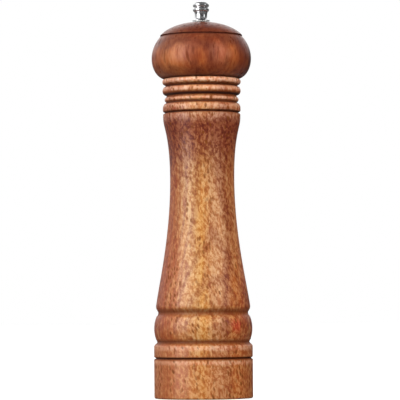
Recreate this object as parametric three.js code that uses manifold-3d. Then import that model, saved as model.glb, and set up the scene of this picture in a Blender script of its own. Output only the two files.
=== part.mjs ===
// Pepper mill in turned wood: a bored body, a crown that turns on it, and a ceramic grinder in the foot.
// Millimetres, +Z up. The origin is the middle of the foot, on the surface that the mill stands on.
// The crown drives a square shaft, the shaft turns the rotor, and the nut on top sets how far the rotor hangs down.
import * as THREE from "three";
import { mergeVertices } from "three/addons/utils/BufferGeometryUtils.js";
import Module from "manifold-3d";

// ---- Driving dimensions ----
const HEIGHT = 254; // over the nut
const SEAT = 204.2; // where the crown rests on the body
const FIT = 0.1; // gap between pieces that rest on each other
const RUNNING = 0.3; // gap round a piece that turns or slides

const foot = { radius: 31.55, edge: 0.9, grooveAt: 25.6, grooveWidth: 1.2, grooveDepth: 1.3, top: 33.4 };
const bead = { low: 36.4, high: 53, radius: 31.4, bulge: 20.5, middle: 44.45 };
const cove = { floor: 29.7, throat: 28.6, throatAt: 54.6 };
const lip = { radius: 30.1, height: 58.8, round: 1.6 };
const waist = { radius: 20.55, height: 140 };
const shoulder = { radius: 24.7, low: 178, high: 180.8 };
// Turned rings of the collar, from the lowest: heights, radius at their roots and at their crests.
const rings = [
  { low: 182.6, high: 187.8, root: 23.7, crest: 24.9 },
  { low: 188.9, high: 192.3, root: 23, crest: 23.7 },
  { low: 193.7, high: 198.6, root: 23.6, crest: 25.05 },
  { low: 200.1, high: SEAT, root: 24.2, crest: 25.15 },
];
const ringCut = 0.5; // how far the cuts between the rings go below the ring's root

const recess = { radius: 22, depth: 12 }; // under the foot, round the grinder
const grinderBore = { radius: 16.7, top: 34 };
const chamber = { radius: 15, top: 188 }; // where the peppercorns are
const socket = { radius: 17.5 }; // takes the crown's tenon

// The bulb: a small ellipse below its widest line, and above it a wide one round the mill's axis.
const crown = { equator: 217.3, radius: 31.87, lowReach: 9.1, upperRise: 24.84 };
const crownGroove = { height: 231.6, radius: 26.75, depth: 0.7 };
const dome = { reach: 28.76, rise: 14.7, centre: 226.24 };
const tenon = { radius: socket.radius - RUNNING, bottom: 191 };
const crownBore = 4.6; // radius
const spotFace = { radius: 7.1, height: 240.3 };
const ferrule = { barrel: 5, bore: 3, flange: 6.9, bottom: 237.3, seat: spotFace.height + 0.05, thickness: 0.6 };

const shaftSide = 6;
const squareHole = shaftSide + 2 * FIT;
const shaft = { bottom: 11.3, shoulder: 234.5, top: 248.8, threadRadius: 2.45 };
const nut = { bottom: 241.5, foot: 5.6, neck: 3.9, neckLow: 243.3, neckHigh: 247, knob: 5.2, waist: 4.5, bore: 2.6 };

const burr = { bottom: 8.9, mouth: 12.1, slope: 0.2308, skirt: 14.6, top: 19.4 }; // rotor, at its coarsest setting
const teeth = 24;
const toothDepth = 0.7;
const hexFlats = 10.4; // across the rotor's driver
const stator = { radius: 14.2, bottom: 10, throat: 16.5, throatRadius: 11.1, mouth: 12.6, top: 30, topRadius: 13.1 };
const housing = { radius: 16.4, bottom: 10, flangeTop: 12 - FIT, flange: 21, top: 33.6, lip: 12.2 };
const bridge = { bottom: 30.1, top: 31.3, arm: 12, rim: 1.9 };
const wireRadius = 0.45;
const springRadius = 5.3;
const springTurns = 4.5;

const drivePlate = { radius: 15.2, thickness: 1.2 };
const driveScrew = { circle: 11.2, shank: 1.1, length: 9, head: 2.2, headHeight: 1.4 };
const baseScrew = { circle: 18.9, shank: 1.25, length: 13, head: 2.4, headHeight: 1.6 };
const baseSeat = 8.8; // the retaining ring's lower face, where the base screws' heads sit
const screwCount = 3;

const ROUND = 36; // sides of the large turned pieces
const SMALL = 20; // sides of the small round pieces

// ---- Materials ----
const finish = (color, roughness, metalness) => new THREE.MeshStandardMaterial({ color, roughness, metalness });
const bodyWood = finish(0xb97a4a, 0.45, 0);
const crownWood = finish(0x87452b, 0.32, 0);
const chrome = finish(0xd9dadb, 0.12, 1);
const steel = finish(0xb4b6b8, 0.35, 1);
const aluminium = finish(0xc7c9cb, 0.4, 1);
const ceramic = finish(0xf0eee8, 0.5, 0);
const nylon = finish(0x2b2b2d, 0.55, 0);
const whiteNylon = finish(0xdcdad4, 0.55, 0);

// ---- Booleans ----
const wasm = await Module();
wasm.setup();

function solidOf(geometry) {
  const bare = geometry.clone();
  for (const name of Object.keys(bare.attributes)) {
    if (name !== "position") bare.deleteAttribute(name);
  }
  const merged = mergeVertices(bare, 1e-4);
  return new wasm.Manifold(
    new wasm.Mesh({
      numProp: 3,
      vertProperties: merged.attributes.position.array,
      triVerts: new Uint32Array(merged.index.array),
    }),
  );
}

function geometryOf(solid) {
  const mesh = solid.getMesh();
  const geometry = new THREE.BufferGeometry();
  geometry.setAttribute("position", new THREE.BufferAttribute(mesh.vertProperties, 3));
  geometry.setIndex(new THREE.BufferAttribute(mesh.triVerts, 1));
  geometry.computeVertexNormals();
  return geometry;
}

const cut = (geometry, cutters) =>
  geometryOf(cutters.reduce((left, cutter) => left.subtract(solidOf(cutter)), solidOf(geometry)));

const join = (geometry, additions) =>
  geometryOf(additions.reduce((whole, addition) => whole.add(solidOf(addition)), solidOf(geometry)));

// ---- Shapes ----
// A turned solid from a path of (radius, height) points that runs anticlockwise round the section.
function turned(path, sides = ROUND, steps = 6) {
  const points = path.getPoints(steps);
  return new THREE.LatheGeometry(points, sides).rotateX(Math.PI / 2);
}

// A turned ring with a square section.
function collarOf(inner, outer, low, high, sides = SMALL) {
  const path = new THREE.Path();
  path.moveTo(inner, low);
  path.lineTo(outer, low);
  path.lineTo(outer, high);
  path.lineTo(inner, high);
  path.closePath();
  return turned(path, sides);
}

function rod(radius, low, high, sides = 12) {
  const path = new THREE.Path();
  path.moveTo(0, low);
  path.lineTo(radius, low);
  path.lineTo(radius, high);
  path.lineTo(0, high);
  return turned(path, sides);
}

// An upright prism with any outline, from one height to another.
const prism = (shape, low, high, steps = 6) =>
  new THREE.ExtrudeGeometry(shape, { depth: high - low, bevelEnabled: false, curveSegments: steps }).translate(0, 0, low);

// A regular polygon by its distance across flats, with two of its flats facing along Y.
function polygon(sides, acrossFlats, Kind = THREE.Shape) {
  const corner = acrossFlats / 2 / Math.cos(Math.PI / sides);
  const points = Array.from({ length: sides }, (_, i) => {
    const angle = (2 * Math.PI * (i + 0.5)) / sides - Math.PI / 2;
    return new THREE.Vector2(corner * Math.cos(angle), corner * Math.sin(angle));
  });
  return new Kind(points);
}

// A round plate with a square hole for the shaft.
function squareHoled(radius, low, high) {
  const shape = new THREE.Shape().absarc(0, 0, radius, 0, 2 * Math.PI);
  shape.holes.push(polygon(4, squareHole, THREE.Path));
  return prism(shape, low, high);
}

// Copies of a piece, evenly spaced on a circle round the mill's axis.
const around = (count, radius, make, turn = 0) =>
  Array.from({ length: count }, (_, i) => {
    const angle = (2 * Math.PI * i) / count + turn;
    return make().translate(radius * Math.cos(angle), radius * Math.sin(angle), 0);
  });

// A closed sleeve whose outside and inside radii are given for each of its levels and at each angle.
// The levels are {height, outer(angle), inner(angle)}, from the lowest.
function sleeve(levels, sides) {
  const positions = [];
  const loops = [...levels.map((l) => [l.height, l.outer]), ...levels.map((l) => [l.height, l.inner]).reverse()];
  for (const [height, radius] of loops) {
    for (let i = 0; i < sides; i++) {
      const angle = (2 * Math.PI * i) / sides;
      positions.push(radius(angle) * Math.cos(angle), radius(angle) * Math.sin(angle), height);
    }
  }
  const index = [];
  for (let loop = 0; loop < loops.length; loop++) {
    const next = (loop + 1) % loops.length;
    for (let i = 0; i < sides; i++) {
      const j = (i + 1) % sides;
      const [a, b, c, d] = [loop * sides + i, loop * sides + j, next * sides + j, next * sides + i];
      index.push(a, b, c, a, c, d);
    }
  }
  const geometry = new THREE.BufferGeometry();
  geometry.setAttribute("position", new THREE.Float32BufferAttribute(positions, 3));
  geometry.setIndex(index);
  geometry.computeVertexNormals();
  return geometry;
}

// ---- Wood ----
// Follows a curve that needs more points than the rest of its path.
function follow(path, curve, steps) {
  for (const point of curve.getPoints(steps).slice(1)) path.lineTo(point.x, point.y);
}

// A V-shaped cut in an upright face.
function vCut(path, radius, height, width, depth) {
  path.lineTo(radius, height - width / 2);
  path.lineTo(radius - depth, height);
  path.lineTo(radius, height + width / 2);
}

function woodenBody() {
  const path = new THREE.Path();
  path.moveTo(recess.radius, 0);
  path.lineTo(foot.radius - foot.edge, 0);
  path.lineTo(foot.radius, foot.edge);
  vCut(path, foot.radius, foot.grooveAt, foot.grooveWidth, foot.grooveDepth);
  path.lineTo(foot.radius, foot.top);
  path.lineTo(cove.floor, foot.top + 1.6);
  path.lineTo(cove.floor, bead.low);
  const beadAngle = (height) => Math.asin((height - bead.middle) / bead.bulge);
  path.absarc(bead.radius - bead.bulge, bead.middle, bead.bulge, beadAngle(bead.low), beadAngle(bead.high));
  path.lineTo(cove.throat, cove.throatAt);
  path.absarc(lip.radius - lip.round, lip.height, lip.round, -Math.PI / 3, 0);
  const flare = [[lip.radius, lip.height], [28.3, 72.8], [waist.radius, 103.5], [waist.radius, waist.height]];
  const swell = [[waist.radius, waist.height], [waist.radius, 166], [24.2, 172.3], [shoulder.radius, shoulder.low]];
  for (const corners of [flare, swell]) {
    follow(path, new THREE.CubicBezierCurve(...corners.map((corner) => new THREE.Vector2(...corner))), 9);
  }
  path.lineTo(shoulder.radius, shoulder.high);
  let low = shoulder.high;
  for (const ring of rings) {
    path.lineTo(ring.root - ringCut, (low + ring.low) / 2);
    const half = (ring.high - ring.low) / 2;
    path.absellipse(ring.root, ring.low + half, ring.crest - ring.root, half, -Math.PI / 2, Math.PI / 2);
    low = ring.high;
  }
  path.lineTo(socket.radius, SEAT);
  path.lineTo(socket.radius, chamber.top);
  path.lineTo(chamber.radius, chamber.top);
  path.lineTo(chamber.radius, grinderBore.top);
  path.lineTo(grinderBore.radius, grinderBore.top);
  path.lineTo(grinderBore.radius, recess.depth);
  path.lineTo(recess.radius, recess.depth);
  path.closePath();
  const pilot = () => rod(baseScrew.shank + FIT, recess.depth - 1, recess.depth + baseScrew.length);
  return cut(turned(path, ROUND, 3), around(screwCount, baseScrew.circle, pilot));
}

function woodenCrown() {
  const under = SEAT + FIT;
  const lowCentre = crown.radius - crown.lowReach;
  const lowDrop = crown.equator - under;
  const plateSeat = tenon.bottom + drivePlate.thickness + FIT;
  const plateRadius = drivePlate.radius + FIT;
  const upperAngle = Math.asin((crownGroove.height - crown.equator) / crown.upperRise);
  const domeAngle = (radius) => Math.acos(radius / dome.reach);

  const path = new THREE.Path();
  path.moveTo(crownBore, plateSeat);
  path.lineTo(plateRadius, plateSeat);
  path.lineTo(plateRadius, tenon.bottom);
  path.lineTo(tenon.radius, tenon.bottom);
  path.lineTo(tenon.radius, under);
  path.absellipse(lowCentre, crown.equator, crown.lowReach, lowDrop, -Math.PI / 2, 0);
  path.absellipse(0, crown.equator, crown.radius, crown.upperRise, 0, upperAngle);
  path.lineTo(crownGroove.radius - crownGroove.depth, crownGroove.height + 0.3);
  path.absellipse(0, dome.centre, dome.reach, dome.rise, domeAngle(26.4), domeAngle(spotFace.radius));
  path.lineTo(spotFace.radius, spotFace.height);
  path.lineTo(ferrule.barrel + FIT, spotFace.height);
  path.lineTo(ferrule.barrel + FIT, ferrule.bottom - FIT);
  path.lineTo(crownBore, ferrule.bottom - FIT);
  path.closePath();
  const pilot = () => rod(driveScrew.shank + FIT, tenon.bottom, tenon.bottom + driveScrew.length + 1.5);
  return cut(turned(path, ROUND, 5), around(screwCount, driveScrew.circle, pilot));
}

// ---- Crown fittings ----

// The eyelet in the top of the crown that the nut bears on.
function crownFerrule() {
  const top = ferrule.seat + ferrule.thickness;
  const path = new THREE.Path();
  path.moveTo(ferrule.bore, ferrule.bottom);
  path.lineTo(ferrule.barrel, ferrule.bottom);
  path.lineTo(ferrule.barrel, ferrule.seat);
  path.lineTo(ferrule.flange, ferrule.seat);
  path.lineTo(ferrule.flange - 0.5, top);
  path.lineTo(ferrule.bore, top);
  path.closePath();
  return turned(path, SMALL);
}

const nutWasher = () => collarOf(2.8, 5.2, ferrule.seat + ferrule.thickness + 0.05, nut.bottom - 0.05);

// The finial nut: a flared foot, a neck, and a knob of two rounded beads.
function adjustingNut() {
  const beadHeight = 2.6;
  const knobTop = nut.neckHigh + 0.5 + 2 * beadHeight;
  const path = new THREE.Path();
  path.moveTo(nut.bore, nut.bottom);
  path.lineTo(nut.foot, nut.bottom);
  path.lineTo(nut.foot, nut.bottom + 0.4);
  path.quadraticCurveTo(nut.neck, nut.bottom + 0.8, nut.neck, nut.neckLow);
  path.lineTo(nut.neck, nut.neckHigh);
  for (const low of [nut.neckHigh + 0.5, nut.neckHigh + 0.5 + beadHeight]) {
    const half = beadHeight / 2;
    path.absellipse(nut.waist, low + half, nut.knob - nut.waist, half, -Math.PI / 2, Math.PI / 2);
  }
  path.quadraticCurveTo(nut.waist - 0.6, HEIGHT - 0.1, 0, HEIGHT);
  path.lineTo(0, knobTop - 1.1);
  path.lineTo(nut.bore, knobTop - 1.1);
  path.closePath();
  return turned(path, SMALL, 3);
}

function plateUnderCrown() {
  const shape = new THREE.Shape().absarc(0, 0, drivePlate.radius, 0, 2 * Math.PI);
  shape.holes.push(polygon(4, squareHole, THREE.Path));
  for (let i = 0; i < screwCount; i++) {
    const angle = (2 * Math.PI * i) / screwCount;
    const [x, y] = [driveScrew.circle * Math.cos(angle), driveScrew.circle * Math.sin(angle)];
    shape.holes.push(new THREE.Path().absarc(x, y, driveScrew.shank + 2 * FIT, 0, 2 * Math.PI, true));
  }
  return prism(shape, tenon.bottom, tenon.bottom + drivePlate.thickness, 5);
}

// A pan-head screw that points up, with the underside of its head at the given height.
function panScrew({ shank, length, head, headHeight }, seat) {
  const path = new THREE.Path();
  path.moveTo(0, seat - headHeight);
  path.lineTo(head * 0.6, seat - headHeight);
  path.lineTo(head, seat - headHeight * 0.45);
  path.lineTo(head, seat);
  path.lineTo(shank, seat);
  path.lineTo(shank, seat + length - 2 * shank);
  path.lineTo(0, seat + length);
  return turned(path, 12);
}

// ---- Shaft and grinder ----
function squareShaft() {
  const threadRoot = shaft.shoulder + 1.2;
  const square = prism(polygon(4, shaftSide), shaft.bottom, shaft.shoulder);
  const cone = new THREE.Path();
  cone.moveTo(0, shaft.shoulder - 0.5);
  cone.lineTo(shaftSide / 2, shaft.shoulder - 0.5);
  cone.lineTo(shaft.threadRadius, threadRoot);
  cone.lineTo(shaft.threadRadius, shaft.top - 0.6);
  cone.lineTo(shaft.threadRadius - 0.6, shaft.top);
  cone.lineTo(0, shaft.top);
  const tapped = rod(1.6, shaft.bottom - 1, shaft.bottom + 10);
  return cut(join(square, [turned(cone, 16)]), [tapped]);
}

// Radius of the rotor's teeth at a height, at their crests. It keeps a constant gap to the stator's mouth.
const rotorCrest = (height) => burr.mouth - burr.slope * (height - burr.bottom);

// Teeth on a cone: a zigzag from crest to root and back, shifted round the circle by a number of sides.
// A positive depth cuts inward from the crest, a negative one outward.
function zigzag(crest, depth, count, shift, sides) {
  const perTooth = sides / count;
  return (angle) => {
    const place = Math.round((angle * sides) / (2 * Math.PI)) + shift + sides;
    const along = (place % perTooth) / perTooth;
    return crest - depth * (1 - Math.abs(2 * along - 1));
  };
}

// The rotor: fine teeth round its skirt, and six broad ribs above them that draw the peppercorns down.
function groundRotor() {
  const sides = 3 * teeth;
  const ribs = 6;
  const hollow = { radius: 8.6, height: 11 };
  const bore = 5;
  const at = (height, outer, inner = bore) => ({ height, outer, inner: () => inner });
  const levels = [
    at(burr.bottom, zigzag(rotorCrest(burr.bottom), toothDepth, teeth, 0, sides), hollow.radius),
    at(hollow.height, zigzag(rotorCrest(hollow.height), toothDepth, teeth, 1, sides), hollow.radius),
    at(burr.skirt, zigzag(rotorCrest(burr.skirt), toothDepth, teeth, 2, sides)),
    at(burr.skirt + 0.6, zigzag(rotorCrest(burr.skirt) - 0.4, 2.1, ribs, 2, sides)),
    at(burr.top - 1, zigzag(8.6, 1.3, ribs, 7, sides)),
    at(burr.top, () => 7),
  ];
  levels[1].inner = () => hollow.radius - 1.2;
  const hexagon = prism(polygon(6, hexFlats + 2 * FIT), burr.bottom - 1, burr.top + 1);
  return cut(sleeve(levels, sides), [hexagon]);
}

function rotorDriver() {
  const shape = polygon(6, hexFlats);
  shape.holes.push(polygon(4, squareHole, THREE.Path));
  return prism(shape, 11, burr.top + 0.1);
}

// The fixed ring that the rotor grinds against. Its teeth lean the other way.
function toothedStator() {
  const sides = 3 * teeth;
  const outer = () => stator.radius;
  const inner = (crest, depth, shift) => zigzag(crest, -depth, teeth, shift, sides);
  const levels = [
    { height: stator.bottom, outer, inner: inner(stator.mouth, toothDepth, 0) },
    { height: stator.throat, outer, inner: inner(stator.throatRadius, toothDepth, -2) },
    { height: stator.throat + 3, outer, inner: inner(stator.throatRadius + 0.5, 1, -3) },
    { height: stator.top, outer, inner: () => stator.topRadius },
  ];
  const notch = () => rod(1.3, stator.bottom - 1, stator.top - 8, 8);
  return cut(sleeve(levels, sides), around(screwCount, stator.radius + 0.3, notch, Math.PI / 3));
}

function burrHousing() {
  const inner = stator.radius + RUNNING / 2;
  const path = new THREE.Path();
  path.moveTo(inner, housing.bottom);
  path.lineTo(housing.flange, housing.bottom);
  path.lineTo(housing.flange, housing.flangeTop);
  path.lineTo(housing.radius, housing.flangeTop);
  path.lineTo(housing.radius, housing.top);
  path.lineTo(housing.lip, housing.top);
  path.lineTo(housing.lip, bridge.top + FIT);
  path.lineTo(inner, bridge.top + FIT);
  path.closePath();
  // Ribs inside the wall that stop the stator from turning.
  const rib = () => rod(1, housing.bottom, stator.top - 9, 8);
  const ribbed = join(turned(path, ROUND), around(screwCount, stator.radius + 0.5, rib, Math.PI / 3));
  const hole = () => rod(baseScrew.shank + FIT, housing.bottom - 1, housing.flangeTop + 1);
  return cut(ribbed, around(screwCount, baseScrew.circle, hole));
}

// The plate across the top of the housing: a rim, and one arm with a hole that guides the shaft.
function shaftBridge() {
  const rim = stator.radius - bridge.rim;
  const half = bridge.arm / 2;
  const shape = new THREE.Shape().absarc(0, 0, stator.radius, 0, 2 * Math.PI);
  const edge = Math.asin(half / rim);
  for (const start of [0, Math.PI]) {
    const window = new THREE.Path();
    window.absarc(0, 0, rim, start - Math.PI / 2 + edge, start + Math.PI / 2 - edge);
    window.closePath();
    shape.holes.push(window);
  }
  shape.holes.push(new THREE.Path().absarc(0, 0, crownBore, 0, 2 * Math.PI, true));
  return prism(shape, bridge.bottom, bridge.top, 10);
}

const retainingRing = () =>
  cut(
    collarOf(13.2, housing.flange, baseSeat, housing.bottom - FIT, ROUND),
    around(screwCount, baseScrew.circle, () => rod(baseScrew.shank + FIT, 0, housing.bottom + 1)),
  );

// ---- Spring and washers ----
const seatTop = bridge.bottom - FIT;
const seatBottom = seatTop - 1;
const lowerWasher = { bottom: burr.top + 0.2, top: burr.top + 1 };

function compressionSpring() {
  const low = lowerWasher.top + wireRadius + FIT;
  const high = seatBottom - wireRadius - FIT;
  class Coil extends THREE.Curve {
    getPoint(t, target = new THREE.Vector3()) {
      const angle = 2 * Math.PI * springTurns * t;
      return target.set(springRadius * Math.cos(angle), springRadius * Math.sin(angle), low + (high - low) * t);
    }
  }
  const wire = new THREE.Shape().absarc(0, 0, wireRadius, 0, 2 * Math.PI);
  return new THREE.ExtrudeGeometry(wire, {
    extrudePath: new Coil(),
    steps: Math.round(springTurns * 14),
    curveSegments: 3,
    bevelEnabled: false,
  });
}

// ---- Assembly ----
const mill = new THREE.Group();

function add(name, geometry, material) {
  const mesh = new THREE.Mesh(geometry, material);
  mesh.name = name;
  mill.add(mesh);
}

add("body", woodenBody(), bodyWood);
add("crown", woodenCrown(), crownWood);
add("crown_ferrule", crownFerrule(), chrome);
add("nut_washer", nutWasher(), whiteNylon);
add("adjusting_nut", adjustingNut(), chrome);
add("drive_plate", plateUnderCrown(), steel);
const drive = around(screwCount, driveScrew.circle, () => panScrew(driveScrew, tenon.bottom - 0.05));
drive.forEach((screw, i) => add(`drive_plate_screw_${i + 1}`, screw, steel));

add("shaft", squareShaft(), aluminium);
add("rotor", groundRotor(), ceramic);
add("rotor_driver", rotorDriver(), nylon);
add("spring_washer", collarOf(4.5, 6.4, lowerWasher.bottom, lowerWasher.top), steel);
add("spring", compressionSpring(), steel);
add("spring_seat", squareHoled(6.4, seatBottom, seatTop), steel);

add("burr_housing", burrHousing(), nylon);
add("stator", toothedStator(), ceramic);
add("bridge", shaftBridge(), steel);
add("retaining_ring", retainingRing(), steel);
const base = around(screwCount, baseScrew.circle, () => panScrew(baseScrew, baseSeat - 0.05));
base.forEach((screw, i) => add(`base_screw_${i + 1}`, screw, steel));

add("rotor_washer", collarOf(1.7, 6.2, 10.1, 10.9), steel);
add("rotor_lock_washer", collarOf(1.65, 3, 9.4, 10), steel);
add("rotor_screw", panScrew({ shank: 1.45, length: 9, head: 2.9, headHeight: 1.7 }, 9.3), steel);

export default mill;
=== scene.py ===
from math import acos, asin, cos, degrees, floor, hypot, pi, radians, sin, sqrt
from types import SimpleNamespace

import bmesh
import bpy
from mathutils import Matrix, Vector


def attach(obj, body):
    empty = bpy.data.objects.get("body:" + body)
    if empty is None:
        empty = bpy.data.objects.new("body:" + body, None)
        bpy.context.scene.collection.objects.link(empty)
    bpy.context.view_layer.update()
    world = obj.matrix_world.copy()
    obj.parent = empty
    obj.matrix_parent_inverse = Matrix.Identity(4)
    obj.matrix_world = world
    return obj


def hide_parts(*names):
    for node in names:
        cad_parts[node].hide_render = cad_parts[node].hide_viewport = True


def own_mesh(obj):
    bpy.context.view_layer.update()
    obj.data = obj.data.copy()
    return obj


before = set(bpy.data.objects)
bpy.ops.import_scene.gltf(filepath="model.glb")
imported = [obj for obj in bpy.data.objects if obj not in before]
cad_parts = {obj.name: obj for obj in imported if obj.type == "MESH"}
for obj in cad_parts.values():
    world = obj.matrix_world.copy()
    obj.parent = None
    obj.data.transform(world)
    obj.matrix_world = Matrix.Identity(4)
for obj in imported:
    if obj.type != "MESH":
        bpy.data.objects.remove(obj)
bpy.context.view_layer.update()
mm = 0.001
tau = 2 * pi


def named(values):
    # a dictionary that is read as values.key
    return SimpleNamespace(**values)


# Outlines, as lists of (across, up).


def polar(radius, angle, *rest):
    return (radius * cos(angle), radius * sin(angle), *rest)


def arc(x, z, rx, rz, start, end, steps):
    # part of an ellipse, angles in degrees
    angles = [radians(start + (end - start) * i / steps) for i in range(steps + 1)]
    return [(x + rx * cos(a), z + rz * sin(a)) for a in angles]


def bezier(p, q, r, s, steps):
    points = []
    for i in range(steps + 1):
        t = i / steps
        u = 1 - t
        weights = (u * u * u, 3 * u * u * t, 3 * u * t * t, t * t * t)
        points.append(tuple(sum(w * c[k] for w, c in zip(weights, (p, q, r, s))) for k in (0, 1)))
    return points


def smoothLine(points, steps):
    # a curve through the points, for hand-turned hollows
    ends = [points[0]] + list(points) + [points[-1]]
    line = [points[0]]
    for a, b, c, d in zip(ends, ends[1:], ends[2:], ends[3:]):
        for i in range(1, steps + 1):
            t = i / steps
            line.append(tuple(
                0.5 * (2 * b[k] + (c[k] - a[k]) * t + (2 * a[k] - 5 * b[k] + 4 * c[k] - d[k]) * t * t
                       + (3 * b[k] - a[k] - 3 * c[k] + d[k]) * t ** 3) for k in (0, 1)))
    return line


def eased(points, radius, steps=4, closed=True):
    # takes the sharpness off every corner of an outline
    mostOfSide = 0.45
    result = []
    count = len(points)
    for i, p in enumerate(points):
        if not closed and i in (0, count - 1):
            result.append(tuple(p))
            continue
        here, before, after = Vector(p), Vector(points[i - 1]), Vector(points[(i + 1) % count])
        back, on = before - here, after - here
        reach = min(radius, back.length * mostOfSide, on.length * mostOfSide)
        start, end = here + back.normalized() * reach, here + on.normalized() * reach
        for k in range(steps + 1):
            t = k / steps
            result.append(tuple(start * (1 - t) ** 2 + here * 2 * t * (1 - t) + end * t * t))
    return result


# Meshes.


def cleaned(mesh, weld):
    # joins points closer than weld, and turns every face outwards
    work = bmesh.new()
    work.from_mesh(mesh)
    bmesh.ops.remove_doubles(work, verts=work.verts, dist=weld)
    bmesh.ops.recalc_face_normals(work, faces=work.faces)
    work.to_mesh(mesh)
    work.free()
    return mesh


def meshFrom(name, verts, faces):
    mesh = bpy.data.meshes.new(name)
    mesh.from_pydata([(x * mm, y * mm, z * mm) for x, y, z in verts], [], faces)
    return cleaned(mesh, 1e-7)


def linked(name, data):
    # a new object in the scene
    item = bpy.data.objects.new(name, data)
    bpy.context.collection.objects.link(item)
    return item


def evaluated(item):
    # a mesh of the object as its curve or its modifiers make it
    return bpy.data.meshes.new_from_object(item.evaluated_get(bpy.context.evaluated_depsgraph_get()))


def skin(name, loops, wrap):
    # joins loops of points into one closed surface: round in a ring, or capped at both ends
    count = len(loops[0])
    verts = [point for loop in loops for point in loop]
    faces = []
    spans = len(loops) if wrap else len(loops) - 1
    for i in range(spans):
        a, b = i * count, (i + 1) % len(loops) * count
        faces += [(a + k, a + (k + 1) % count, b + (k + 1) % count, b + k) for k in range(count)]
    if not wrap:
        for start in (0, (len(loops) - 1) * count):
            centre = [sum(verts[start + k][axis] for k in range(count)) / count for axis in (0, 1, 2)]
            verts.append(centre)
            faces += [(start + k, start + (k + 1) % count, len(verts) - 1) for k in range(count)]
    return meshFrom(name, verts, faces)


def turnedMesh(name, outline, sides, shape=None):
    # spins an outline of (radius, height) round the axis; shape can change a radius by angle
    onAxis, nearAxis = outline[0][0] < 1e-6, 1e-4
    loops = []
    for index, (radius, height) in enumerate(outline):
        if radius < 1e-6:
            radius = nearAxis
        loop = []
        for k in range(sides):
            a = tau * k / sides
            r = shape(a, radius, height, index) if shape else radius
            loop.append(polar(r, a, height))
        loops.append(loop)
    return skin(name, loops, wrap=not onAxis)


def circlePoints(x, y, radius, count):
    angles = [tau * k / count for k in range(count)]
    return [(x + radius * cos(a), y + radius * sin(a)) for a in angles]


def squarePoints(side, ease):
    half = side / 2
    return eased([(-half, -half), (half, -half), (half, half), (-half, half)], ease, 4)


def sectionPoints(inner, outer, low, high):
    # the plain section of a ring
    return [(inner, low), (outer, low), (outer, high), (inner, high)]


def plateMesh(name, outline, holes, low, high, edge):
    # a flat plate with holes and softened edges
    curve = bpy.data.curves.new(name, "CURVE")
    curve.dimensions, curve.fill_mode = "2D", "BOTH"
    curve.extrude = ((high - low) / 2 - edge) * mm
    curve.bevel_depth, curve.bevel_resolution, curve.offset = edge * mm, 2, -edge * mm
    for points in [outline] + holes:
        spline = curve.splines.new("POLY")
        spline.points.add(len(points) - 1)
        for spot, (x, y) in zip(spline.points, points):
            spot.co = (x * mm, y * mm, 0, 1)
        spline.use_cyclic_u = True
    holder = linked(name, curve)
    mesh = evaluated(holder)
    bpy.data.objects.remove(holder)
    mesh.transform(Matrix.Translation((0, 0, (low + high) / 2 * mm)))
    return cleaned(mesh, 1e-6)


def carved(mesh, cutters, operation="DIFFERENCE"):
    # cuts other meshes out of this one, or joins them to it
    target = linked("carving", mesh)
    tools = [linked("cutter", cutter) for cutter in cutters]
    for tool in tools:
        step = target.modifiers.new("cut", "BOOLEAN")
        step.operation, step.solver, step.object = operation, "EXACT", tool
    bpy.context.view_layer.update()
    result = evaluated(target)
    for item in tools + [target]:
        bpy.data.objects.remove(item)
    return result


def moved(mesh, x=0, y=0, z=0, turn=0):
    copy = mesh.copy()
    copy.transform(Matrix.Translation((x * mm, y * mm, z * mm)) @ Matrix.Rotation(turn, 4, "Z"))
    return copy


def place(mesh, name, body, slot, stands, sharp=35):
    # puts a finished mesh in the scene, riding on its body in place of the solid it stands for
    mesh.name = name
    mesh.materials.clear()
    for material in materials[slot]:
        mesh.materials.append(material)
    mesh.shade_smooth()
    mesh.set_sharp_from_angle(angle=radians(sharp))
    piece = linked(name, mesh)
    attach(piece, body)
    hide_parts(stands)
    return piece


# Materials.


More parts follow.
